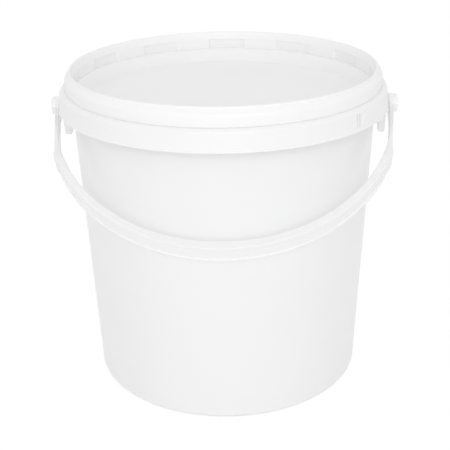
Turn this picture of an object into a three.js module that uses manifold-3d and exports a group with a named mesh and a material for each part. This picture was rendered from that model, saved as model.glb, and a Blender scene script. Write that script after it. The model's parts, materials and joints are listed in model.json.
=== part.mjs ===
// A round ten-litre plastic pail with a clip-on lid and a swinging bail handle.
// Millimetres, +Z up. The origin is the centre of the foot ring, on the floor, and the front is -Y.

import * as THREE from 'three';
import { mergeVertices } from 'three/addons/utils/BufferGeometryUtils.js';
import Module from 'manifold-3d';

const wasm = await Module();
wasm.setup();

// Running and seating clearances
const seatGap = 0.3;
const pinGap = 0.3;
const sideGap = 0.5;

// Pail body
const baseRadius = 112.5;
const wallTaper = 0.0439;
const wall = 1.5;
const rimHeight = 256.9;
const footHeight = 2.2;
const footWidth = 4;
const floorThickness = 1.8;
const floorRound = 2;
const baseCorner = 2.4;
const baseChamfer = 0.7;
const gateRadius = 5;
const gateDepth = 0.8;

// Pail neck, above the ledge, and the bead that the lid clips over
const neckHeight = 7.7;
const neckStep = 1.2;
const beadReach = 0.8;
const beadHeight = 3.6;
const beadSlope = 0.8;
const beadTopRound = 1.2;

// Ledge and collar round the neck
const ledgeThickness = 1.6;
const ledgeWidth = 8.66;
const ledgeFillet = 1.2;
const flareHeight = 2.6;
const collarHeight = 16.8;
const collarDraft = 1.1;
const collarShoulder = 2.2;
const collarWall = 1.3;
const collarLip = 0.6;
const collarLipHeight = 1.2;
const collarLipEdge = 0.4;
const gussetCount = 24;
const gussetThickness = 1.2;
const gussetHeight = 9;

// Ears and their pins
const pivotDrop = 19.7;
const earThickness = 3.2;
const earHalfWidth = 14;
const earTipHalfWidth = 5;
const earReach = 21.5;
const earTopDrop = 0.8;
const pinRadius = 3.5;
const pinHeadRadius = 4.5;
const pinHeadLength = 1.6;
const pinHeadEdge = 0.7;
const pinLength = 5.6;

// Tear tab in the collar
const tabAngle = -41;
const tabSlit = 0.7;
const tabSlitSpacing = 2.6;
const tabWedgeGap = 1.3;
const tabWedgeWidth = 7.1;
const tabDepth = 0.7;
const tabMargin = 1.6;

// Lid
const lidWall = 1.3;
const skirtWall = 1.3;
const skirtPlay = 0.8;
const clipHeight = 0.8;
const clipSlope = 0.9;
const lidRise = 6.1;
const lipWidth = 1.5;
const lipHeight = 2.1;
const lipOverhang = 0.8;
const lipRound = 0.4;
const shoulderDrop = 4.1;
const panelDepth = 25.3;
const recessStepDepth = 15.6;
const recessSlope = 5.7;
const plugDraft = 2;
const wallLean = 0.9;
const pocketCount = 12;
const pocketAngle = 15.4;
const pocketHeight = 8.5;
const pocketFloor = 0.9;
const pocketSideWall = 0.6;

// Bail handle, in its own plane: x across, s down from the pivot, and its width square to both
const swingGap = 9.7;
const gripCentreDrop = 10.1;
const gripThickness = 7;
const gripWidth = 17.2;
const hubRadius = 7.4;
const hubRound = 1.8;
const hubLength = 7.2;
const armThickness = 3.2;
const armEndRadius = 7.9;
const armTaperLength = 50;
const armStraight = 12.6;
const armBendDepth = 36;
const armWaist = 0.4;
const heelDepth = 60.5;
const heelInset = 4.9;
const heelStep = 5.3;
const innerStraight = 16;
const innerBendDepth = 22;
const innerBlend = 30;
const slotStart = 9.2;
const slotLength = 21;
const slotWidth = 1;
const slotDepth = 2.6;
const slotInset = 0.9;
const grooveRim = 2.6;
const outerGroove = 1.1;
const innerGroove = 2.6;
const grooveHalfAngle = 62;

// Roundness
const turnSteps = 60;
const pinSteps = 24;

// Radius of the pail's outer wall at a height
const bodyRadius = (z) => baseRadius + wallTaper * z;

// Levels and radii that the pieces share
const ledgeHeight = rimHeight - neckHeight;
const neckRadius = bodyRadius(ledgeHeight) + neckStep;
const neckInner = neckRadius - wall;
const beadRadius = neckRadius + beadReach;
const collarRadius = neckRadius + ledgeWidth;
const collarTopRadius = collarRadius - collarDraft;
const collarTop = ledgeHeight - collarShoulder;
const collarBottom = ledgeHeight - collarHeight;
const pivotHeight = ledgeHeight - pivotDrop;
const earFace = collarRadius;
const hubInner = earFace + 2 * pinGap;
const gripInner = collarRadius + collarLip + swingGap - gripCentreDrop;
const gripOuter = gripInner + gripThickness;

const degrees = (angle) => THREE.MathUtils.degToRad(angle);

// A closed geometry as a solid that can be joined and cut
function toSolid(geometry) {
  const bare = geometry.index ? geometry.toNonIndexed() : geometry.clone();
  bare.deleteAttribute('normal');
  bare.deleteAttribute('uv');
  const merged = mergeVertices(bare, 1e-4);
  const corners = merged.index.array;
  const triangles = [];
  for (let i = 0; i < corners.length; i += 3) {
    const [a, b, c] = [corners[i], corners[i + 1], corners[i + 2]];
    if (a !== b && b !== c && c !== a) triangles.push(a, b, c);
  }
  return new wasm.Manifold(new wasm.Mesh({
    numProp: 3,
    vertProperties: new Float32Array(merged.attributes.position.array),
    triVerts: new Uint32Array(triangles),
  }));
}

function toGeometry(solid) {
  const mesh = solid.getMesh();
  const geometry = new THREE.BufferGeometry();
  geometry.setAttribute('position', new THREE.BufferAttribute(new Float32Array(mesh.vertProperties), 3));
  geometry.setIndex(new THREE.BufferAttribute(new Uint32Array(mesh.triVerts), 1));
  geometry.computeVertexNormals();
  return geometry;
}

// Turns a profile of [radius, height] points about the Z axis
function turned(profile, steps = turnSteps) {
  const points = profile.map(([r, z]) => new THREE.Vector2(r, z));
  return toSolid(new THREE.LatheGeometry(points, steps).rotateX(Math.PI / 2));
}

// Turns a profile of [radius, x] points about the X axis, at the pivot's height
function turnedOnPivot(profile, steps = pinSteps) {
  const points = profile.map(([r, x]) => new THREE.Vector2(r, x));
  return toSolid(new THREE.LatheGeometry(points, steps).rotateZ(-Math.PI / 2));
}

// A block between two radii and two heights, centred on an angle, with flat ends
function ringBlock(inner, outer, low, high, middle, span) {
  const half = degrees(span) / 2;
  const at = degrees(middle);
  const shape = new THREE.Shape();
  shape.absarc(0, 0, outer, at - half, at + half, false);
  shape.absarc(0, 0, inner, at + half, at - half, true);
  const block = new THREE.ExtrudeGeometry(shape, { depth: high - low, bevelEnabled: false, curveSegments: 4 });
  return toSolid(block.translate(0, 0, low));
}

function material(color, roughness) {
  return new THREE.MeshStandardMaterial({ color, roughness, metalness: 0 });
}

// One ear: a flat pad on the collar that runs down past it to a tapered tongue, with its pin
function ear() {
  const earTop = collarTop - earTopDrop;
  const earBottom = pivotHeight - earReach;
  const outline = new THREE.Shape();
  outline.moveTo(-earHalfWidth, earTop);
  outline.lineTo(-earHalfWidth, pivotHeight - pinRadius);
  outline.lineTo(-earTipHalfWidth, earBottom);
  outline.lineTo(earTipHalfWidth, earBottom);
  outline.lineTo(earHalfWidth, pivotHeight - pinRadius);
  outline.lineTo(earHalfWidth, earTop);
  outline.closePath();
  const pad = new THREE.ExtrudeGeometry(outline, { depth: earThickness, bevelEnabled: false });
  pad.rotateX(Math.PI / 2).rotateZ(Math.PI / 2).translate(earFace - earThickness, 0, 0);
  const pinRoot = earFace - earThickness / 2;
  const tip = earFace + pinLength;
  const neckEnd = tip - pinHeadLength;
  const pin = turnedOnPivot([
    [0, pinRoot], [pinRadius, pinRoot], [pinRadius, neckEnd], [pinHeadRadius, neckEnd + pinHeadEdge / 2],
    [pinHeadRadius - pinHeadEdge, tip], [0, tip],
  ]).translate([0, 0, pivotHeight]);
  return toSolid(pad).add(pin);
}

function pail() {
  const footOuter = baseRadius - baseCorner;
  const footInner = footOuter - footWidth;
  const floorTop = footHeight + floorThickness;
  const innerRadius = (z) => bodyRadius(z) - wall;
  const ledgeBottom = ledgeHeight - ledgeThickness;
  const lipTop = collarBottom + collarLipHeight;
  const beadTop = rimHeight - beadTopRound;
  const beadBottom = beadTop - beadHeight;
  const flareBottom = ledgeBottom - flareHeight;
  const collarInner = collarRadius - collarWall;
  const collarTopInner = collarTopRadius - collarWall;
  let body = turned([
    [0, footHeight], [footInner - footHeight / 2, footHeight], [footInner, 0], [footOuter, 0],
    [bodyRadius(baseChamfer) - baseChamfer, baseChamfer], [bodyRadius(baseCorner), baseCorner],
    [bodyRadius(flareBottom), flareBottom], [bodyRadius(ledgeBottom) + ledgeFillet, ledgeBottom],
    [collarTopInner - ledgeFillet, ledgeBottom], [collarTopInner, ledgeBottom - ledgeFillet],
    [collarInner, lipTop], [collarInner, collarBottom],
    [collarRadius, collarBottom], [collarRadius + collarLip, collarBottom + collarLipEdge],
    [collarRadius + collarLip, lipTop - collarLipEdge], [collarRadius, lipTop + collarLipEdge],
    [collarTopRadius, collarTop], [collarTopRadius - collarShoulder * 0.45, ledgeHeight - collarShoulder * 0.35],
    [collarTopRadius - collarShoulder * 1.3, ledgeHeight], [neckRadius, ledgeHeight],
    [neckRadius, beadBottom], [beadRadius, beadBottom + beadSlope], [beadRadius, beadTop],
    [beadRadius - beadTopRound * 0.75, rimHeight], [neckInner + beadTopRound / 3, rimHeight],
    [neckInner, rimHeight - beadTopRound / 2], [neckInner, ledgeBottom],
    [innerRadius(flareBottom), flareBottom],
    [innerRadius(floorTop + floorRound), floorTop + floorRound], [innerRadius(floorTop) - floorRound, floorTop],
    [0, floorTop],
  ]);

  // Gate mark in the middle of the base
  body = body.subtract(turned([
    [0, footHeight - gateDepth], [gateRadius, footHeight - gateDepth], [gateRadius - gateDepth, footHeight + gateDepth],
    [0, footHeight + gateDepth],
  ], pinSteps));

  // Gussets between the wall and the collar, hanging from the ledge
  const gussetReach = collarTopInner + collarWall / 4;
  for (let i = 0; i < gussetCount; i++) {
    const outline = new THREE.Shape();
    const root = bodyRadius(ledgeBottom) - wall / 2;
    outline.moveTo(root, ledgeHeight - ledgeThickness / 2);
    outline.lineTo(root, ledgeBottom - gussetHeight);
    outline.lineTo(bodyRadius(ledgeBottom) + gussetThickness, ledgeBottom - gussetHeight);
    outline.lineTo(gussetReach, ledgeBottom - gussetHeight / 2);
    outline.lineTo(gussetReach, ledgeHeight - ledgeThickness / 2);
    const rib = new THREE.ExtrudeGeometry(outline, { depth: gussetThickness, bevelEnabled: false });
    rib.translate(0, 0, -gussetThickness / 2).rotateX(Math.PI / 2);
    rib.rotateZ((i + 0.5) * 2 * Math.PI / gussetCount);
    body = body.add(toSolid(rib));
  }

  // Tear tab: two slits and a wedge-shaped thinning at the right of the front
  const slitTop = collarTop - tabMargin;
  const slitBottom = lipTop + tabMargin;
  const collarMiddle = (collarTopInner + collarRadius) / 2;
  for (const place of [0, tabSlitSpacing]) {
    const slit = new THREE.BoxGeometry(collarWall * 4, tabSlit, slitTop - slitBottom);
    slit.translate(collarMiddle, place, (slitTop + slitBottom) / 2);
    body = body.subtract(toSolid(slit.rotateZ(degrees(tabAngle))));
  }
  const wedgeStart = tabSlitSpacing + tabWedgeGap;
  const wedge = new THREE.Shape();
  wedge.moveTo(wedgeStart, slitTop);
  wedge.lineTo(wedgeStart, slitBottom);
  wedge.lineTo(wedgeStart + tabWedgeWidth, slitTop);
  const thinning = new THREE.ExtrudeGeometry(wedge, { depth: tabDepth + collarWall * 2, bevelEnabled: false });
  thinning.rotateX(Math.PI / 2).rotateZ(Math.PI / 2).translate(collarTopRadius - tabDepth, 0, 0);
  body = body.subtract(toSolid(thinning.rotateZ(degrees(tabAngle))));

  // The ears stand at the left and the right
  const right = ear();
  return body.add(right).add(right.rotate([0, 0, 180]));
}

function lid() {
  const roof = rimHeight + seatGap;
  const lidTop = roof + lidRise;
  const panelTop = lidTop - panelDepth;
  const panelBottom = panelTop - lidWall;
  const stepHeight = lidTop - recessStepDepth;
  const panelRadius = baseRadius;
  const stepRadius = panelRadius + recessSlope;
  const plugOuter = neckInner - sideGap;
  const wallOuter = plugOuter - plugDraft;
  const wallInner = wallOuter - lidWall;
  const skirtInner = beadRadius + skirtPlay;
  const skirtOuter = skirtInner + skirtWall;
  const skirtBottom = ledgeHeight + seatGap;
  const clip = beadRadius + seatGap;
  const clipBottom = skirtBottom + clipSlope;
  const clipTop = clipBottom + clipHeight;
  const lipOuter = neckInner + lipOverhang;
  const lipInner = lipOuter - lipWidth;
  const shoulderTop = lidTop - lipHeight;
  const skirtTop = shoulderTop - shoulderDrop;
  const wallTop = stepHeight + pocketHeight;
  const slopeWall = lidWall * 0.85;
  let cover = turned([
    [0, panelBottom], [panelRadius - lidWall / 4, panelBottom],
    [stepRadius + slopeWall, stepHeight - lidWall / 2],
    [wallOuter, stepHeight + lidWall / 4], [plugOuter - wallLean, roof - lidWall / 2], [plugOuter, roof],
    [skirtInner, roof], [skirtInner, clipTop + clipSlope], [clip, clipTop],
    [clip, clipBottom], [skirtInner, skirtBottom], [skirtOuter, skirtBottom],
    [skirtOuter, skirtTop], [skirtOuter - shoulderDrop * 0.12, skirtTop + shoulderDrop * 0.3],
    [skirtOuter - shoulderDrop * 0.4, skirtTop + shoulderDrop * 0.65], [lipOuter + lipRound, shoulderTop],
    [lipOuter, shoulderTop + lipRound], [lipOuter, lidTop - lipRound], [lipOuter - lipRound, lidTop],
    [lipInner + lipRound, lidTop], [lipInner, lidTop - lipRound],
    [wallInner + wallLean, wallTop],
    [wallInner, stepHeight + lidWall / 3], [stepRadius, stepHeight - lidWall / 4],
    [panelRadius + lidWall * 0.7, panelTop + lidWall * 0.85], [panelRadius - lidWall / 3, panelTop], [0, panelTop],
  ]);

  // Castellated stacking wall: each pocket pushes the wall outwards, towards the pail's neck
  const pocketBottom = stepHeight + lidWall / 2;
  const pocketTop = pocketBottom + pocketHeight;
  const pocketOuter = plugOuter - lidWall;
  const sideAngle = THREE.MathUtils.radToDeg(pocketSideWall * 2 / plugOuter);
  for (let i = 0; i < pocketCount; i++) {
    const middle = 90 + i * 360 / pocketCount;
    cover = cover.add(ringBlock(
      wallInner + lidWall / 2, plugOuter - seatGap, pocketBottom - pocketFloor, roof + lidWall / 4,
      middle, pocketAngle + sideAngle));
    cover = cover.subtract(ringBlock(
      wallInner - lidWall * 2, pocketOuter, pocketBottom, pocketTop, middle, pocketAngle));
  }
  return cover;
}

// The bail's outline in its own plane, as a closed band from hub to hub; y is -s
function bailBand() {
  const armOuter = hubInner + armThickness;
  const armTop = armEndRadius * 1.2;
  const heelOuter = armOuter - heelInset;
  const heelAngle = Math.asin((heelDepth + heelStep - gripCentreDrop) / gripOuter);
  const blendAngle = Math.asin((innerBlend - gripCentreDrop) / gripInner);
  const blendAcross = gripInner * Math.cos(blendAngle);
  const shape = new THREE.Shape();
  shape.moveTo(armOuter, armTop);
  shape.lineTo(armOuter, -armStraight);
  shape.quadraticCurveTo(heelOuter + armWaist, -armBendDepth, heelOuter, -heelDepth);
  shape.absarc(0, -gripCentreDrop, gripOuter, -heelAngle, heelAngle - Math.PI, true);
  shape.lineTo(-heelOuter, -heelDepth);
  shape.quadraticCurveTo(-heelOuter - armWaist, -armBendDepth, -armOuter, -armStraight);
  shape.lineTo(-armOuter, armTop);
  shape.lineTo(-hubInner, armTop);
  shape.lineTo(-hubInner, -innerStraight);
  shape.quadraticCurveTo(-hubInner, -innerBendDepth, -blendAcross, -innerBlend);
  shape.absarc(0, -gripCentreDrop, gripInner, blendAngle - Math.PI, -blendAngle, false);
  shape.quadraticCurveTo(hubInner, -innerBendDepth, hubInner, -innerStraight);
  shape.lineTo(hubInner, armTop);
  shape.closePath();
  return shape;
}

// A groove along the grip's arc, between two radii, leaving a rim at each edge
function gripGroove(inner, outer) {
  const width = gripWidth - 2 * grooveRim;
  const shape = new THREE.Shape();
  const half = degrees(grooveHalfAngle);
  shape.absarc(0, -gripCentreDrop, outer, -Math.PI / 2 - half, -Math.PI / 2 + half, false);
  shape.absarc(0, -gripCentreDrop, inner, -Math.PI / 2 + half, -Math.PI / 2 - half, true);
  const groove = new THREE.ExtrudeGeometry(shape, { depth: width, bevelEnabled: false, curveSegments: 28 });
  return toSolid(groove.translate(0, 0, -width / 2));
}

// A tapered slot in each narrow edge of the right arm, below its hub
function armSlots() {
  const outer = hubInner + armThickness - slotInset;
  const shape = new THREE.Shape();
  shape.moveTo(outer, -slotStart);
  shape.lineTo(outer - slotWidth, -slotStart);
  shape.lineTo(outer - slotWidth, -slotStart - slotLength);
  shape.closePath();
  const slot = new THREE.ExtrudeGeometry(shape, { depth: 2 * slotDepth, bevelEnabled: false });
  const edge = gripWidth / 2 - slotDepth;
  return toSolid(slot.clone().translate(0, 0, edge)).add(toSolid(slot.translate(0, 0, -edge - 2 * slotDepth)));
}

function handle() {
  const band = new THREE.ExtrudeGeometry(bailBand(), { depth: gripWidth, bevelEnabled: false, curveSegments: 28 });
  band.translate(0, 0, -gripWidth / 2);

  // Side view of the bail: round ends at the pivots, widening to the grip
  const sideEnd = gripCentreDrop + gripOuter + gripThickness;
  const side = new THREE.Shape();
  side.absarc(0, 0, armEndRadius, 0, Math.PI, false);
  side.lineTo(-gripWidth / 2, -armTaperLength);
  side.lineTo(-gripWidth / 2, -sideEnd);
  side.lineTo(gripWidth / 2, -sideEnd);
  side.lineTo(gripWidth / 2, -armTaperLength);
  side.closePath();
  const reach = 2 * (hubInner + hubLength);
  const sweep = new THREE.ExtrudeGeometry(side, { depth: reach, bevelEnabled: false, curveSegments: 16 });
  sweep.translate(0, 0, -reach / 2).rotateY(Math.PI / 2);
  let bail = toSolid(band).intersect(toSolid(sweep));

  // Grooves on both faces of the grip, and slots in the arms' edges
  bail = bail.subtract(gripGroove(gripOuter - outerGroove, gripOuter + gripThickness));
  bail = bail.subtract(gripGroove(gripInner - gripThickness, gripInner + innerGroove));
  const slots = armSlots();
  bail = bail.subtract(slots).subtract(slots.mirror([1, 0, 0]));

  // Hubs: a capped boss on each arm, with a blind bore that snaps over the pin's head
  const cap = hubInner + hubLength;
  const headStart = earFace + pinLength - pinHeadLength - pinGap;
  const headEnd = earFace + pinLength + pinGap;
  const boreRadius = pinRadius + pinGap;
  const headBore = pinHeadRadius + pinGap;
  const boss = turnedOnPivot([
    [0, hubInner], [hubRadius, hubInner], [hubRadius, cap - hubRound],
    [hubRadius - hubRound * 0.3, cap - hubRound * 0.3], [hubRadius - hubRound, cap], [0, cap],
  ]);
  const bore = turnedOnPivot([
    [0, earFace], [boreRadius, earFace], [boreRadius, headStart],
    [headBore, headStart], [headBore, headEnd], [0, headEnd],
  ]);
  bail = bail.add(boss).add(boss.rotate([0, 0, 180]));
  return bail.subtract(bore).subtract(bore.rotate([0, 0, 180]));
}

// Angle from straight down at which the bail comes to rest, where the lower inner edge of its grip
// meets the front of the pail: sin(a) * across + cos(a) * down = wall radius at the pivot's height
function restAngle() {
  const inner = gripCentreDrop + gripInner;
  const across = inner + wallTaper * gripWidth / 2;
  const down = wallTaper * inner - gripWidth / 2;
  return Math.asin((bodyRadius(pivotHeight) + seatGap) / Math.hypot(across, down)) - Math.atan2(down, across);
}

function part(name, solid, color, roughness) {
  const mesh = new THREE.Mesh(toGeometry(solid), material(color, roughness));
  mesh.name = name;
  return mesh;
}

const group = new THREE.Group();
group.add(part('pail', pail(), 0xf3f3f2, 0.35));
group.add(part('lid', lid(), 0xf0f1f1, 0.3));

const bail = new THREE.Group();
bail.add(part('handle', handle(), 0xf4f4f3, 0.32));
bail.rotation.x = Math.PI / 2 - restAngle();
bail.position.z = pivotHeight;
group.add(bail);

export default group;
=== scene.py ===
import json
import math

import bmesh
import bpy
import numpy as np
from mathutils import Matrix, Vector


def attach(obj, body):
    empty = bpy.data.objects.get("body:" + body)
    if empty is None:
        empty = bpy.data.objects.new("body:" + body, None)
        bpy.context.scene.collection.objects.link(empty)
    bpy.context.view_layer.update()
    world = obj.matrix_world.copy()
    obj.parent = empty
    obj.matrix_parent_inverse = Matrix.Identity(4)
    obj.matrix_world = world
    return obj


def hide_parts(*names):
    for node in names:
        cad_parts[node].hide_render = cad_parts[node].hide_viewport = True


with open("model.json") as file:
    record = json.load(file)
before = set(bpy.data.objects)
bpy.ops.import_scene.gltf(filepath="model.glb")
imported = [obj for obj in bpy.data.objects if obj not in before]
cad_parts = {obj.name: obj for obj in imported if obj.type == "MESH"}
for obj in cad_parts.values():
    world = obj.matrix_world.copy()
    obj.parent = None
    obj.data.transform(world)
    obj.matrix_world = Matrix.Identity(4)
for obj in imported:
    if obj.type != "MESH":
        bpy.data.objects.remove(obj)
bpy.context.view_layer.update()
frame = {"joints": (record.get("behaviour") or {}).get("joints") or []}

# Camera
# A pinhole view of the front from a little above the lid, near enough to see the far side of the lid's
# recess. Metres and radians, and millimetres for the lens.
camera_turn = 0.03
camera_distance = 0.7642
camera_height = 0.4502
camera_pitch = 0.4063
camera_yaw = -0.0011 - camera_turn
camera_roll = -0.0179
sensor_width = 36.0
focal_length = 76.93

camera_place = Vector((
    camera_distance * math.sin(camera_turn), -camera_distance * math.cos(camera_turn), camera_height))
forward = Vector((
    math.sin(camera_yaw) * math.cos(camera_pitch),
    math.cos(camera_yaw) * math.cos(camera_pitch),
    -math.sin(camera_pitch),
))
level_right = forward.cross(Vector((0, 0, 1))).normalized()
level_up = level_right.cross(forward)
right = math.cos(camera_roll) * level_right + math.sin(camera_roll) * level_up
up = math.cos(camera_roll) * level_up - math.sin(camera_roll) * level_right

camera = bpy.data.objects.new("camera", bpy.data.cameras.new("camera"))
camera.data.sensor_width = sensor_width
camera.data.lens = focal_length
camera.matrix_world = Matrix.Translation(camera_place) @ Matrix((right, up, -forward)).transposed().to_4x4()
bpy.context.scene.collection.objects.link(camera)
bpy.context.scene.camera = camera
bpy.context.scene.view_settings.view_transform = "Standard"


# Floor and background
# A white table top and an even white surround. The camera sees most of the floor as plain white, and the
# rest of it keeps the bucket's soft shadow.
floor_half = 4.0
floor_colour = "F4F4F4"
floor_shadow_share = 0.3
floor_glow = 1.12
world_strength = 0.79
plain_white = (1, 1, 1, 1)


def linear(hex_colour):
    """sRGB hex as linear RGBA: c / 12.92 up to 0.04045, and ((c + 0.055) / 1.055) ** 2.4 above it."""
    c = np.array([int(hex_colour[i:i + 2], 16) for i in (0, 2, 4)]) / 255
    return (*np.where(c <= 0.04045, c / 12.92, ((c + 0.055) / 1.055) ** 2.4).tolist(), 1.0)


def add_node(tree, kind, inputs, **settings):
    """Adds a node. inputs gives each socket a value or another node's output, settings are its own."""
    node = tree.nodes.new(kind)
    for name, value in settings.items():
        setattr(node, name, value)
    for socket, value in inputs.items():
        if isinstance(value, bpy.types.NodeSocket):
            tree.links.new(value, node.inputs[socket])
        else:
            node.inputs[socket].default_value = value
    return node


def seen_rays(tree):
    """1 for the rays of the camera, of reflections and of clear things, and 0 for diffuse light."""
    path = add_node(tree, "ShaderNodeLightPath", {})
    either = add_node(tree, "ShaderNodeMath", {
        0: path.outputs["Is Camera Ray"], 1: path.outputs["Is Glossy Ray"]}, operation="MAXIMUM")
    return add_node(tree, "ShaderNodeMath", {
        0: either.outputs[0], 1: path.outputs["Is Transmission Ray"]}, operation="MAXIMUM").outputs[0]


white_table = bpy.data.materials.new("white_painted_table")
white_table.use_nodes = True
tree = white_table.node_tree
tree.nodes.clear()
paint = add_node(tree, "ShaderNodeBsdfDiffuse", {"Color": linear(floor_colour)})
plain = add_node(tree, "ShaderNodeEmission", {"Color": plain_white, "Strength": floor_glow})
shown = add_node(tree, "ShaderNodeMixShader", {
    0: floor_shadow_share, 1: plain.outputs[0], 2: paint.outputs[0]})
table = add_node(tree, "ShaderNodeMixShader", {0: seen_rays(tree), 1: paint.outputs[0], 2: shown.outputs[0]})
add_node(tree, "ShaderNodeOutputMaterial", {"Surface": table.outputs[0]})

floor_mesh = bpy.data.meshes.new("floor")
floor_mesh.from_pydata(
    [(-floor_half, -floor_half, 0), (floor_half, -floor_half, 0),
     (floor_half, floor_half, 0), (-floor_half, floor_half, 0)], [], [(0, 1, 2, 3)])
floor_mesh.materials.append(white_table)
floor = bpy.data.objects.new("floor", floor_mesh)
bpy.context.scene.collection.objects.link(floor)

world = bpy.data.worlds.new("surround")
world.use_nodes = True
tree = world.node_tree
tree.nodes.clear()
ambient = add_node(tree, "ShaderNodeBackground", {"Color": plain_white, "Strength": world_strength})
white = add_node(tree, "ShaderNodeBackground", {"Color": plain_white, "Strength": 1.0})
surround = add_node(tree, "ShaderNodeMixShader", {
    0: seen_rays(tree), 1: ambient.outputs[0], 2: white.outputs[0]})
add_node(tree, "ShaderNodeOutputWorld", {"Surface": surround.outputs[0]})
bpy.context.scene.world = world


# Lamps
# A broad softbox behind and above the camera, and a much weaker one overhead, as for a product shot on
# white. Metres and watts.
def softbox(name, place, target, size, power):
    """A rectangular area lamp at a place, turned to a target. size is its width and its height."""
    lamp = bpy.data.lights.new(name, "AREA")
    lamp.shape = "RECTANGLE"
    lamp.size, lamp.size_y = size
    lamp.energy = power
    holder = bpy.data.objects.new(name, lamp)
    holder.location = place
    holder.rotation_euler = (Vector(target) - Vector(place)).to_track_quat("-Z", "Y").to_euler()
    bpy.context.scene.collection.objects.link(holder)


softbox("front_softbox", place=(0.05, -2.1, 0.85), target=(0, 0, 0.15), size=(1.8, 1.6), power=11.8)
softbox("top_softbox", place=(0.1, 0.1, 1.9), target=(0, 0, 0.2), size=(1.6, 1.6), power=1.4)


# Pail
# The white moulded body with its floor, foot ring, neck, rim bead, ledge and collar. It is injection
# moulded in polypropylene with draft and small round edges everywhere. Sizes are in millimetres.
MM = 0.001
pivot_height = next(j["pos_m"][2] for j in frame["joints"] if j["name"] == "handle_swing") / MM

turn_step = 1.5
fillet_steps = 4
corner_points = fillet_steps + 3

base_radius = 112.5
base_corner = 2.4
wall_taper = 0.0439
wall = 1.5
foot_height = 2.2
foot_width = 4.0
foot_slope = 0.9
foot_outer = base_radius - base_corner
foot_inner = foot_outer - foot_width
floor_top = 4.0
rim_height = 256.9
ledge_height = 249.2
ledge_bottom = ledge_height - 1.6
wall_end = ledge_bottom - 2.6
wall_root = 1.4
flare_bottom = ledge_bottom - 1.6
neck_radius = base_radius + wall_taper * ledge_height + 1.2
neck_inner = neck_radius - wall
bead_radius = neck_radius + 0.8
bead_bottom = rim_height - 4.8
collar_radius = 133.3
collar_top_radius = 132.2
collar_wall = 1.3
collar_inner = collar_radius - collar_wall
collar_top_inner = collar_top_radius - collar_wall
collar_bottom = 232.4
collar_top = ledge_height - 2.2
lip_top = collar_bottom + 1.2
lip_radius = collar_radius + 0.6
ear_flat = 130.2


def rounded(corners, fillets, steps=fillet_steps):
    """Outlines with round corners, from corners (..., n, 2). A corner B between A and C, a fillet away on
    its two sides, becomes (1-t)^2 A + 2t(1-t) B + t^2 C, with one more point beyond A and beyond C. A
    fillet takes no more than a share of the shorter side."""
    fillet_share, beyond_share, most_beyond = 0.4, 0.08, 0.25
    corners = np.asarray(corners, float)
    to_last = np.roll(corners, 1, -2) - corners
    to_next = np.roll(corners, -1, -2) - corners
    last_side = np.linalg.norm(to_last, axis=-1, keepdims=True)
    next_side = np.linalg.norm(to_next, axis=-1, keepdims=True)
    shorter = np.minimum(last_side, next_side)
    wanted = np.broadcast_to(np.asarray(fillets, float), corners.shape[:-1])[..., None]
    fillet = np.minimum(wanted, fillet_share * shorter)
    beyond = np.where(fillet > 0, fillet + np.minimum(most_beyond, beyond_share * shorter), 0)
    to_last, to_next = to_last / np.maximum(last_side, 1e-9), to_next / np.maximum(next_side, 1e-9)
    a, c = corners + to_last * fillet, corners + to_next * fillet
    arc = [(1 - t) ** 2 * a + 2 * t * (1 - t) * corners + t ** 2 * c for t in np.linspace(0, 1, steps + 1)]
    loop = np.stack([corners + to_last * beyond, *arc, corners + to_next * beyond], -2)
    return loop.reshape(*corners.shape[:-2], -1, 2)


def turned(profile, angles):
    """A surface turned about Z: (r cos a, r sin a, z) for each angle and each profile point (r, z)."""
    r, z = np.asarray(profile, float).T
    heights = np.tile(z, (len(angles), 1))
    return np.stack([np.outer(np.cos(angles), r), np.outer(np.sin(angles), r), heights], -1)


def grid_faces(rows, columns, wrap_rows=True, wrap_columns=False):
    """The quads of a grid of points, where point (i, j) has the number i * columns + j."""
    row_numbers = np.arange(rows if wrap_rows else rows - 1)
    column_numbers = np.arange(columns if wrap_columns else columns - 1)
    i, j = np.meshgrid(row_numbers, column_numbers, indexing="ij")
    below, beside = (i + 1) % rows * columns, (j + 1) % columns
    return np.stack([i * columns + j, below + j, below + beside, i * columns + beside], -1).reshape(-1, 4)


def make_piece(name, body, points, faces, material, crease=50, thin=True):
    """A piece from points in millimetres. Equal points are joined, and the faces turned to look outwards.
    Thin milky plastic hardly blocks soft light, so it is left out of diffuse bounces."""
    mesh = bpy.data.meshes.new(name)
    mesh.from_pydata((np.asarray(points).reshape(-1, 3) * MM).tolist(), [], [list(f) for f in faces])
    form = bmesh.new()
    form.from_mesh(mesh)
    bmesh.ops.remove_doubles(form, verts=form.verts, dist=2e-7)
    if form.calc_volume(signed=True) < 0:
        bmesh.ops.reverse_faces(form, faces=form.faces)
    form.to_mesh(mesh)
    form.free()
    mesh.shade_smooth()
    mesh.set_sharp_from_angle(angle=math.radians(crease))
    mesh.materials.append(material)
    piece = bpy.data.objects.new(name, mesh)
    piece.visible_diffuse = not thin
    bpy.context.scene.collection.objects.link(piece)
    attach(piece, body)
    return piece


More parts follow.
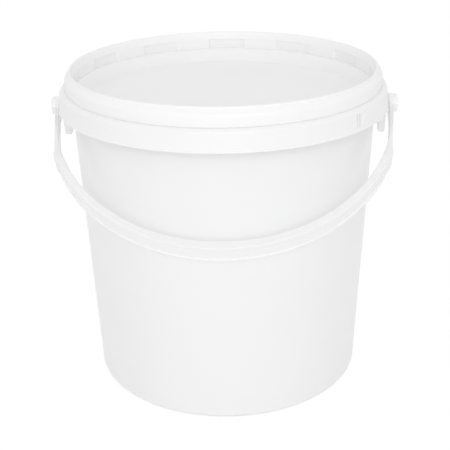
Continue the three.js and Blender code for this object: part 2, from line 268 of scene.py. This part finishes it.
def moulded_polypropylene(name, colour, deep_colour, roughness, subsurface):
    """White polypropylene from a polished mould: a milky plastic with a soft gloss. Light enters it a few
    millimetres, its surface has a faint long wave from cooling and a very fine grain, and its tone and
    gloss vary a little where the melt flowed together. Sizes are in metres."""
    material = bpy.data.materials.new(name)
    material.use_nodes = True
    tree = material.node_tree
    tree.nodes.clear()
    place = add_node(tree, "ShaderNodeTexCoord", {}).outputs["Object"]
    flow_size, wave_size, grain_size = 0.045, 0.022, 0.0009
    wave_depth, wave_strength = 0.0006, 0.05
    grain_depth, grain_strength = 0.00006, 0.1
    light_depth = 0.004
    gloss_change = 0.06
    flow = add_node(tree, "ShaderNodeTexNoise", {"Vector": place, "Scale": 1 / flow_size, "Detail": 3.0})
    # Sockets 6 and 7 of a mix of colours are its two colours, and output 2 is the mixed one.
    tone = add_node(tree, "ShaderNodeMix", {
        "Factor": flow.outputs[0], 6: linear(colour), 7: linear(deep_colour)}, data_type="RGBA")
    wave = add_node(tree, "ShaderNodeTexNoise", {"Vector": place, "Scale": 1 / wave_size, "Detail": 1.0})
    grain = add_node(tree, "ShaderNodeTexNoise", {"Vector": place, "Scale": 1 / grain_size, "Detail": 2.0})
    gloss = add_node(tree, "ShaderNodeMapRange", {
        "Value": flow.outputs[0], "To Min": roughness - gloss_change, "To Max": roughness + gloss_change},
        clamp=False)
    long_wave = add_node(tree, "ShaderNodeBump", {
        "Height": wave.outputs[0], "Strength": wave_strength, "Distance": wave_depth})
    fine_grain = add_node(tree, "ShaderNodeBump", {
        "Height": grain.outputs[0], "Strength": grain_strength, "Distance": grain_depth,
        "Normal": long_wave.outputs[0]})
    plastic = add_node(tree, "ShaderNodeBsdfPrincipled", {
        "Base Color": tone.outputs[2], "Roughness": gloss.outputs[0], "IOR": 1.49,
        "Subsurface Weight": subsurface, "Subsurface Radius": (1.0, 1.0, 0.97),
        "Subsurface Scale": light_depth, "Normal": fine_grain.outputs[0]})
    add_node(tree, "ShaderNodeOutputMaterial", {"Surface": plastic.outputs[0]})
    return material


def body_radius(z):
    """Radius of the pail's outer wall, which widens evenly with height."""
    return base_radius + wall_taper * z


pail_plastic = moulded_polypropylene(
    "white_moulded_polypropylene", "F6F6F6", "F4F4F5", roughness=0.34, subsurface=0.12)

# Radius, height and fillet of each corner, from the middle of the underside round to the floor's inside.
pail_corners = np.array([
    (0, foot_height, 0), (foot_inner - foot_slope, foot_height, 0.6), (foot_inner, 0, 0.5),
    (foot_outer, 0, 0.8), (base_radius + 0.1, base_corner, 1.5), (body_radius(wall_end), wall_end, 1.5),
    (body_radius(ledge_bottom) + wall_root, ledge_bottom, 0.5), (collar_top_inner, ledge_bottom, 1.2),
    (collar_inner, lip_top, 0.2), (collar_inner, collar_bottom, 0.2), (lip_radius, collar_bottom, 0.4),
    (lip_radius, lip_top, 0.4), (collar_radius - 0.05, lip_top + 0.5, 0.3),
    (collar_top_radius, collar_top + 0.5, 2.0), (collar_top_radius - 2.4, ledge_height, 0.8),
    (neck_radius, ledge_height, 0.5), (neck_radius, bead_bottom, 0.4), (bead_radius, bead_bottom + 0.8, 0.4),
    (bead_radius, rim_height, 1.0), (neck_inner, rim_height, 0.5), (neck_inner, ledge_bottom + 0.2, 0.6),
    (body_radius(flare_bottom) - wall, flare_bottom, 0.6), (body_radius(floor_top) - wall, floor_top, 2.5),
    (0, floor_top, 0),
])
pail_profile = rounded(pail_corners[:, :2], pail_corners[:, 2])

# The tear tab is two slits and a wedge-shaped hollow in the collar, at the right of the front. The collar's
# face gets more rows for it, between corners 12 and 13 of the profile.
tab_angle = math.radians(319)
tab_margin = 0.4
tab_rows = 23
slit_half = 0.35
slit_edge = 0.06
slit_spacing = 2.6
slit_depth = collar_wall - 0.1
slit_top = collar_top - 1.6
slit_bottom = lip_top + 1.6
wedge_start = 3.9
wedge_width = 7.1
wedge_depth = 1.1
wedge_side = 0.35
wedge_step = 0.3
wedge_margin = 0.2
face_end = 13 * corner_points
face_heights = np.linspace(slit_bottom - tab_margin, slit_top + tab_margin, tab_rows)
face_radii = np.interp(face_heights, *pail_profile[[face_end - 1, face_end]].T[::-1])
pail_profile = np.insert(pail_profile, face_end, np.column_stack([face_radii, face_heights]), axis=0)

slit_edges = slit_half + slit_edge * np.array([-1, 1])
slit_places = np.concatenate([start + side * slit_edges for start in (0, slit_spacing) for side in (-1, 1)])
wedge_places = np.arange(
    wedge_start - wedge_margin, wedge_start + wedge_width + 2 * wedge_margin, wedge_step)
tab_places = np.concatenate([slit_places, wedge_places])
pail_angles = np.unique(np.concatenate([
    np.radians(np.arange(0, 360, turn_step)), tab_angle + tab_places / collar_radius]))
pail_points = turned(pail_profile, pail_angles)

along_collar = (collar_radius * (pail_angles - tab_angle))[:, None]
height = pail_profile[:, 1][None, :]
place_in_profile = np.arange(len(pail_profile))
on_collar_face = (place_in_profile >= face_end) & (place_in_profile < face_end + tab_rows)
in_slit = np.maximum(np.abs(along_collar) < slit_half, np.abs(along_collar - slit_spacing) < slit_half)
in_height = (height > slit_bottom) & (height < slit_top)
rise = (height - slit_bottom) / (slit_top - slit_bottom)
from_edges = np.minimum(along_collar - wedge_start, wedge_start + wedge_width * rise - along_collar)
in_wedge = np.clip(from_edges / wedge_side, 0, 1) * rise
sunk = np.maximum(in_slit * slit_depth, in_wedge * wedge_depth) * in_height * on_collar_face
outwards = np.stack([np.cos(pail_angles), np.sin(pail_angles), np.zeros_like(pail_angles)], -1)
pail_points -= sunk[..., None] * outwards[:, None, :]

# The collar is corners 7 to 14 of the profile, and its outside starts at corner 10. It is flat beside each
# ear.
collar_start = 7 * corner_points
outside_start = 10 * corner_points
collar_end = 15 * corner_points + tab_rows
flat_side = np.where(place_in_profile < outside_start, ear_flat - collar_wall, ear_flat)
on_collar = (place_in_profile >= collar_start) & (place_in_profile < collar_end)
flat_side = np.where(on_collar, flat_side, np.inf)
pail_points[..., 0] = np.clip(pail_points[..., 0], -flat_side, flat_side)
pail_faces = grid_faces(len(pail_angles), len(pail_profile))
pail = make_piece("pail_shell", "pail", pail_points, pail_faces, pail_plastic, thin=False)
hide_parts("pail")


# Ears and pins
# A pad on each flat side of the collar, a deep tapered tongue that runs down past it, and a headed pin on a
# round boss, which the handle snaps over. They are moulded with the pail.
pin_radius = 3.5
pin_head_radius = 4.5
pin_head_length = 1.6
pin_turn_step = 7.5
boss_radius = 6.0
ear_face = collar_radius
pin_end = ear_face + 5.6
pin_head_start = pin_end - pin_head_length
ear_half_width = 14.0
ear_top = 246.2
pad_thickness = 3.2
pad_face = ear_flat + 0.4
pad_waist = pivot_height - pin_radius
pad_tip_half_width = 7.0
pad_bottom = 219.0
pad_edge = 0.3
tongue_top = collar_bottom + 1
tongue_waist = tongue_top - 8
tongue_waist_half_width = ear_half_width - 2
tongue_tip_half_width = 5.0
tongue_bottom = 206.0
tongue_front = 131.6
tongue_depth = 4.8
tongue_edge = 0.8
pin_root = pad_face - 1


def plate(outline, back, front, edge):
    """Points of a plate with a flat back and a round front edge, as rings of its outline (y, z) that step
    along X and inwards: (1 - cos a) edge inwards at (sin a) edge forwards, and faces with two end caps."""
    ahead, behind = np.roll(outline, -1, 0), np.roll(outline, 1, 0)
    along = (ahead - behind) / np.linalg.norm(ahead - behind, axis=1, keepdims=True)
    outwards = np.stack([along[:, 1], -along[:, 0]], -1)
    turns = np.linspace(0, math.pi / 2, 5)
    rings = [(back, 0.0)] + [(front - edge + edge * math.sin(t), edge * (1 - math.cos(t))) for t in turns]
    points = np.concatenate([
        np.column_stack([np.full(len(outline), x), outline - outwards * inset]) for x, inset in rings])
    count = len(outline)
    sides = grid_faces(len(rings), count, wrap_rows=False, wrap_columns=True)
    caps = [list(range(count))[::-1], list(range((len(rings) - 1) * count, len(rings) * count))]
    return points, [*sides.tolist(), *caps]


pad_outline = rounded([
    (-ear_half_width, ear_top), (-ear_half_width, pad_waist), (-pad_tip_half_width, pad_bottom),
    (pad_tip_half_width, pad_bottom), (ear_half_width, pad_waist), (ear_half_width, ear_top),
], 2.0)
tongue_outline = rounded([
    (-ear_half_width, tongue_top), (-tongue_waist_half_width, tongue_waist),
    (-tongue_tip_half_width, tongue_bottom), (tongue_tip_half_width, tongue_bottom),
    (tongue_waist_half_width, tongue_waist), (ear_half_width, tongue_top),
], 1.5)
pad_points, pad_faces = plate(pad_outline, pad_face - pad_thickness, pad_face, pad_edge)
tongue_points, tongue_faces = plate(tongue_outline, tongue_front - tongue_depth, tongue_front, tongue_edge)
pin_profile = rounded([
    (0, pin_root), (boss_radius, pin_root), (boss_radius, ear_face), (pin_radius, ear_face),
    (pin_radius, pin_head_start), (pin_head_radius, pin_head_start + 0.3), (pin_head_radius, pin_end),
    (0, pin_end),
], [0, 0, 0.3, 0.3, 0.3, 0.2, 0.9, 0], 3)
pin_angles = np.radians(np.arange(0, 360, pin_turn_step))
pin_points = turned(pin_profile, pin_angles)[..., [2, 0, 1]] + [0, 0, pivot_height]
pin_faces = grid_faces(len(pin_angles), len(pin_profile))

# The left side is the right one turned by half a turn about Z.
both_sides = (("right", np.array([1, 1, 1])), ("left", np.array([-1, -1, 1])))
for side, turn in both_sides:
    make_piece(f"ear_{side}", "pail", pad_points * turn, pad_faces, pail_plastic, crease=35)
    make_piece(f"ear_tongue_{side}", "pail", tongue_points * turn, tongue_faces, pail_plastic, crease=35)
    make_piece(f"ear_pin_{side}", "pail", pin_points * turn, pin_faces, pail_plastic, crease=35)


# Gussets
# Thin ribs under the ledge that tie the collar to the wall, moulded with the pail and seen only from below.
gusset_count = 24
gusset_half_thickness = 0.6
gusset_height = 9.0
gusset_top = ledge_bottom + 0.4
gusset_bottom = ledge_bottom - gusset_height
gusset_inner = body_radius(ledge_bottom) - wall / 2
gusset_foot = body_radius(ledge_bottom) + 1
gusset_outer = collar_top_inner + 0.3
gusset_outline = np.array([
    (gusset_inner, gusset_top), (gusset_inner, gusset_bottom), (gusset_foot, gusset_bottom),
    (gusset_outer, ledge_bottom - gusset_height / 2), (gusset_outer, gusset_top),
])
corner_count = len(gusset_outline)
one_gusset = np.concatenate([
    np.insert(gusset_outline, 1, offset, axis=1)
    for offset in (-gusset_half_thickness, gusset_half_thickness)])
gusset_points, gusset_faces = [], []
for number in range(gusset_count):
    turn = math.radians((number + 0.5) * 360 / gusset_count)
    spin = np.array([(math.cos(turn), math.sin(turn), 0), (-math.sin(turn), math.cos(turn), 0), (0, 0, 1)])
    first = number * 2 * corner_count
    gusset_points.append(one_gusset @ spin)
    gusset_faces += (grid_faces(2, corner_count, wrap_rows=False, wrap_columns=True) + first).tolist()
    gusset_faces.append([first + i for i in range(corner_count)][::-1])
    gusset_faces.append([first + corner_count + i for i in range(corner_count)])
make_piece("gussets", "pail", np.concatenate(gusset_points), gusset_faces, pail_plastic, crease=35)


# Lid
# A clip-on lid, moulded in one piece: a flat panel sunk low enough for the next bucket's base, a sloped
# wall, a stacking wall with twelve pockets, a lip, a round shoulder and a skirt with an inner clip bead.
lid_plastic = moulded_polypropylene(
    "milky_moulded_polypropylene", "F9F9F9", "F7F7F7", roughness=0.42, subsurface=0.08)
lid_top = 263.3
lid_wall = 1.3
panel_radius = 112.5
panel_top = lid_top - 25.3
step_height = lid_top - 15.6
step_radius = 118.2
roof = rim_height + 0.3
plug_outer = neck_inner - 0.5
wall_inner = plug_outer - 2 - lid_wall
top_of_wall = (wall_inner + 0.9, step_height + 8.5)
foot_of_wall = (wall_inner, step_height + 0.3)
skirt_inner = bead_radius + 0.8
skirt_outer = skirt_inner + 1.3
skirt_bottom = ledge_height + 0.03
skirt_top = roof - 0.2
clip = bead_radius + 0.3
lip_outer = neck_inner + 0.8
lip_inner = lip_outer - 1.5
shoulder = 4.1
pocket_count = 12
pocket_pitch = 360 / pocket_count
pocket_half_angle = 7.7
pocket_edge_angle = 0.35
pocket_bottom = step_height + 0.6
pocket_top = pocket_bottom + 8.5
pocket_edge = 0.5


def smooth_step(x, start, end):
    """0 before start and 1 after end, and t * t * (3 - 2t) between them."""
    t = np.clip((x - start) / (end - start), 0, 1)
    return t * t * (3 - 2 * t)


# Radius, height and fillet of each corner, from the middle of the underside round to the top of the panel.
# The inner wall runs from the last of the first list to the first of the second.
under_corners = np.array([
    (0, panel_top - lid_wall, 0), (panel_radius - 0.3, panel_top - lid_wall, 1.0),
    (step_radius + 1.1, step_height - 0.65, 0.8), (wall_inner + lid_wall, step_height + 0.3, 0.5),
    (plug_outer - 0.9, roof - 0.7, 0.3), (plug_outer, roof, 0.3),
    (skirt_inner, roof, 0.6), (skirt_inner, skirt_bottom + 2.6, 0.4), (clip, skirt_bottom + 1.7, 0.3),
    (clip, skirt_bottom + 0.9, 0.3), (skirt_inner, skirt_bottom, 0.2), (skirt_outer, skirt_bottom, 0.1),
    (skirt_outer, skirt_top, 1.2), (skirt_outer - 0.9, skirt_top + shoulder * 0.45, 1.0),
    (lip_outer + 0.4, skirt_top + shoulder, 1.0), (lip_outer, lid_top - 2.1, 0.3), (lip_outer, lid_top, 0.5),
    (lip_inner, lid_top, 0.5), (*top_of_wall, 1.5),
])
over_corners = np.array([
    (*foot_of_wall, 0.5), (step_radius, step_height - 0.2, 0.8), (panel_radius, panel_top, 1.2),
    (0, panel_top, 0),
])
lid_corners = np.concatenate([under_corners, over_corners])
lid_profile = rounded(lid_corners[:, :2], lid_corners[:, 2])

# The inner wall gets more rows, close together at the upper and the lower edge of the pockets. They take the
# place of the fillet points that lie below the first of them.
wall_start = len(under_corners) * corner_points
upper_rows = np.linspace(pocket_top + 0.4, pocket_top - 0.6, 9)
middle_rows = np.linspace(pocket_top - 1, pocket_bottom + 1, 10)
lower_rows = np.linspace(pocket_bottom + 0.7, pocket_bottom, 7)
heights = np.concatenate([upper_rows, middle_rows, lower_rows])
wall_lean = (top_of_wall[0] - foot_of_wall[0]) / (top_of_wall[1] - foot_of_wall[1])
wall_line = np.column_stack([foot_of_wall[0] + (heights - foot_of_wall[1]) * wall_lean, heights])
kept_above = wall_start - 1
while lid_profile[kept_above - 1, 1] < heights[0] + 0.1:
    kept_above -= 1
lid_profile = np.concatenate([lid_profile[:kept_above], wall_line, lid_profile[wall_start:]])

edge_turns = pocket_half_angle + pocket_edge_angle * np.linspace(-1, 1, 7)
one_pitch = np.unique(np.round(np.concatenate([
    np.arange(-pocket_pitch / 2, pocket_pitch / 2, turn_step), edge_turns, -edge_turns]), 4))
lid_angles = np.radians(np.concatenate([
    90 + number * pocket_pitch + one_pitch for number in range(pocket_count)]))
off_centre = np.abs((np.degrees(lid_angles) - 90 + pocket_pitch / 2) % pocket_pitch - pocket_pitch / 2)
in_pocket = 1 - smooth_step(
    off_centre, pocket_half_angle - pocket_edge_angle, pocket_half_angle + pocket_edge_angle)

# A pocket sinks the inner wall as far as the plug's outside allows, and pushes the outer wall, between
# corners 2 and 5, out to it.
lid_r = np.tile(lid_profile[:, 0], (len(lid_angles), 1))
lid_z = np.tile(lid_profile[:, 1], (len(lid_angles), 1))
order = np.arange(len(lid_profile))
on_inner_wall = (order >= kept_above) & (order < kept_above + len(heights))
high_enough = smooth_step(lid_profile[:, 1], pocket_bottom, pocket_bottom + pocket_edge)
low_enough = 1 - smooth_step(lid_profile[:, 1], pocket_top - pocket_edge, pocket_top)
sunk = in_pocket[:, None] * (on_inner_wall * high_enough * low_enough)[None, :]
lid_r += sunk * (plug_outer - lid_wall - lid_r)
on_outer_wall = (order > 2 * corner_points) & (order < 5 * corner_points + 3)
above_step = smooth_step(lid_profile[:, 1], step_height - 0.7, step_height + 0.3)
pushed = in_pocket[:, None] * (on_outer_wall * above_step)
lid_r += pushed * (plug_outer - lid_r)
lid_points = np.stack([
    lid_r * np.cos(lid_angles)[:, None], lid_r * np.sin(lid_angles)[:, None], lid_z], -1)
lid_faces = grid_faces(len(lid_angles), len(lid_profile))
lid = make_piece("lid_moulding", "lid", lid_points, lid_faces, lid_plastic, thin=False)
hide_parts("lid")


# Handle
# A stiff bail, moulded in one piece: a curved grip with a shallow groove on its outer face and a deep one on
# its inner face, two arms with a knuckle and a slot in each edge, and a capped hub at each end. It hangs on
# the ear pins and leans on the pail's wall.
handle_plastic = moulded_polypropylene(
    "white_moulded_polypropylene_bail", "F6F6F6", "F4F4F4", roughness=0.32, subsurface=0.3)
grip_drop = 10.1
grip_outer = 140.5
grip_inner = 133.5
grip_inner_at_arm = 134.5
grip_reach = grip_drop + grip_inner
grip_half_width = 8.6
hub_inner = ear_face + 0.6
hub_cap = hub_inner + 7.2
hub_radius = 7.4
bore_radius = 3.8
head_bore_radius = pin_head_radius + 0.4
head_bore_start = pin_head_start - 0.3
head_bore_end = pin_end + 0.3
arm_end_radius = 7.9
arm_end_round = 5.6
arm_end_reach = 15.0
arm_half_width = 6.9
arm_outer = hub_inner + 3.2
arm_straight = 12.6
hub_blend = (4, 20)
knuckle_blend = (50, 66)
heel_depth = 60.5
heel_outer = arm_outer - 4.9
heel_step = 5.3
outer_bend = (heel_outer + 1.6, 38)
heel_turn = (heel_outer - 0.3, heel_depth + 2.6)
inner_straight = 14.0
inner_bend = (hub_inner - 1, 26)
inner_arc_depth = 56.0
inner_arc_lead = 16.0
throat_angle = math.radians(34)
slot_start = 9.2
slot_end = 32.0
slot_ramp = 0.3
slot_inset = 1.0
slot_width = 1.1
slot_depth = 2.2
slot_least_depth = 0.02
groove_rim = 2.6
groove_slope = 0.35
outer_groove = 1.1
inner_groove = 2.6
groove_end_angle = 28.0
groove_ramp = 0.5
rest_gap = 0.3
wall_at_pivot = body_radius(pivot_height) + rest_gap

# At rest the grip's nearer edge stops at this gap from the tapered wall.
rest_across = grip_reach + wall_taper * grip_half_width
rest_down = wall_taper * grip_reach - grip_half_width
rest_angle = (math.asin(wall_at_pivot / math.hypot(rest_across, rest_down))
              - math.atan2(rest_down, rest_across))


def curve(points, count):
    """A Bezier curve of two, three or four points, at evenly spaced values of its parameter."""
    t = np.linspace(0, 1, count)[:, None]
    points = [np.asarray(p, float) for p in points]
    while len(points) > 1:
        points = [(1 - t) * a + t * b for a, b in zip(points, points[1:])]
    return points[0]


def arc(first_radius, last_radius, start, end, count):
    """Points (across, down) of an arc about the grip's centre: r (cos a, sin a) below it, where a is the
    angle below the level line and r changes evenly from the first radius to the last."""
    turn = np.linspace(start, end, count)
    radius = np.linspace(first_radius, last_radius, count)
    return np.stack([radius * np.cos(turn), grip_drop + radius * np.sin(turn)], -1)


def along(path, shares):
    """Points of a path at shares of its own length."""
    lengths = np.concatenate([[0], np.cumsum(np.linalg.norm(np.diff(path, axis=0), axis=1))])
    return np.stack([np.interp(shares * lengths[-1], lengths, path[:, k]) for k in (0, 1)], -1)


# Half of the bail's outer and inner outline, from the hub to the middle of the grip, and then the whole.
heel_angle = math.asin((heel_depth + heel_step - grip_drop) / grip_outer)
blend_angle = math.asin((inner_arc_depth - grip_drop) / grip_inner_at_arm)
outer_grip = arc(grip_outer, grip_outer, heel_angle, throat_angle, 30)
inner_grip = arc(grip_inner_at_arm, grip_inner_at_arm, blend_angle, throat_angle, 30)
blend_way = np.array([-math.sin(blend_angle), math.cos(blend_angle)])
outer_arm = np.concatenate([
    curve([(arm_outer, 0), (arm_outer, arm_straight)], 8),
    curve([(arm_outer, arm_straight), outer_bend, (heel_outer, heel_depth)], 50)[1:],
    curve([(heel_outer, heel_depth), heel_turn, outer_grip[0]], 10)[1:],
    outer_grip[1:]])
before_blend = inner_grip[0] - inner_arc_lead * blend_way
inner_arm = np.concatenate([
    curve([(hub_inner, 0), (hub_inner, inner_straight)], 8),
    curve([(hub_inner, inner_straight), inner_bend, before_blend, inner_grip[0]], 60)[1:],
    inner_grip[1:]])
arm_shares = np.linspace(0, 1, 150)
half_outer = np.concatenate([
    along(outer_arm, arm_shares), arc(grip_outer, grip_outer, throat_angle, math.pi / 2, 60)[1:]])
half_inner = np.concatenate([
    along(inner_arm, arm_shares), arc(grip_inner_at_arm, grip_inner, throat_angle, math.pi / 2, 60)[1:]])
outer_path = np.concatenate([half_outer, half_outer[-2::-1] * [-1, 1]])
inner_path = np.concatenate([half_inner, half_inner[-2::-1] * [-1, 1]])

# Each section's thickness, half width, grooves and slots, from how deep below the pivot it lies.
depth_below = (outer_path[:, 1] + inner_path[:, 1]) / 2
narrowed = arm_half_width + (arm_end_radius - arm_half_width) * (1 - smooth_step(depth_below, *hub_blend))
half_width = narrowed + (grip_half_width - narrowed) * smooth_step(depth_below, *knuckle_blend)
thick = np.linalg.norm(outer_path - inner_path, axis=1)
path_angle = np.degrees(np.arctan2(depth_below - grip_drop, np.abs(inner_path[:, 0])))
grooved = smooth_step(path_angle, groove_end_angle - groove_ramp, groove_end_angle + groove_ramp)
outer_cut, inner_cut = outer_groove * grooved, inner_groove * grooved
slotted = (smooth_step(depth_below, slot_start - slot_ramp, slot_start)
           * (1 - smooth_step(depth_below, slot_start, slot_end)))
slot_floor = half_width - slot_least_depth - slot_depth * np.sqrt(slotted)
slot_outer = thick - slot_inset
slot_inner = slot_outer - slot_width
zero = np.zeros_like(thick)
rim = half_width - groove_rim
groove_half = rim - groove_slope

# Corners (outwards, across) of a section: a slot, the outer face, the other slot and the inner face.
section = np.stack([np.stack(corner, -1) for corner in (
    (slot_inner, -half_width), (slot_inner, -slot_floor),
    (slot_outer, -slot_floor), (slot_outer, -half_width),
    (thick, -half_width), (thick, -rim), (thick - outer_cut, -groove_half),
    (thick - outer_cut, groove_half), (thick, rim), (thick, half_width),
    (slot_outer, half_width), (slot_outer, slot_floor),
    (slot_inner, slot_floor), (slot_inner, half_width),
    (zero, half_width), (zero, rim), (inner_cut, groove_half),
    (inner_cut, -groove_half), (zero, -rim), (zero, -half_width))], 1)
slot_fillets = [0.1, 0.1, 0.1, 0.1]
face_fillets = [0.7, 0.5, 0.3, 0.3, 0.5, 0.7]
section = rounded(section, 2 * (slot_fillets + face_fillets), 3)

# The arms start on a circle inside the hubs' flanges, and the sections near it are bent to follow.
share_out = section[..., 0] / thick[:, None]
across_down = inner_path[:, None, :] + share_out[..., None] * (outer_path - inner_path)[:, None, :]
width = section[..., 1]
start_depth = np.sqrt(np.maximum(arm_end_round ** 2 - width ** 2, 0))
bent = np.clip(1 - across_down[..., 1] / arm_end_reach, 0, 1)
down = np.maximum(across_down[..., 1], 0) + start_depth * bent
bail_down = np.array([0, -math.sin(rest_angle), -math.cos(rest_angle)])
bail_wide = np.array([0, -math.cos(rest_angle), math.sin(rest_angle)])
bail_points = (across_down[..., :1] * np.array([1, 0, 0]) + down[..., None] * bail_down
               + width[..., None] * bail_wide + np.array([0, 0, pivot_height]))
ring_count, ring_size = width.shape
bail_faces = grid_faces(ring_count, ring_size, wrap_rows=False, wrap_columns=True).tolist()
bail_faces.append(list(range(ring_size))[::-1])
bail_faces.append(list(range((ring_count - 1) * ring_size, ring_count * ring_size)))
bail = make_piece("handle_bail", "handle", bail_points, bail_faces, handle_plastic, crease=40)
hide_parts("handle")

# Radius, distance along X and fillet of each corner of a hub, from the bottom of its bore round to its cap.
hub_corners = np.array([
    (0, head_bore_end, 0), (head_bore_radius, head_bore_end, 0.2),
    (head_bore_radius, head_bore_start + 0.3, 0.2), (bore_radius, head_bore_start, 0.2),
    (bore_radius, hub_inner, 0.2), (arm_end_radius, hub_inner, 0.4), (arm_end_radius, arm_outer, 0.4),
    (hub_radius, arm_outer, 0.1), (hub_radius, hub_cap, 1.8), (0, hub_cap, 0),
])
hub_profile = rounded(hub_corners[:, :2], hub_corners[:, 2], 5)
hub_points = turned(hub_profile, pin_angles)[..., [2, 0, 1]] + [0, 0, pivot_height]
hub_faces = grid_faces(len(pin_angles), len(hub_profile))
for side, turn in both_sides:
    make_piece(f"handle_hub_{side}", "handle", hub_points * turn, hub_faces, handle_plastic, crease=40)
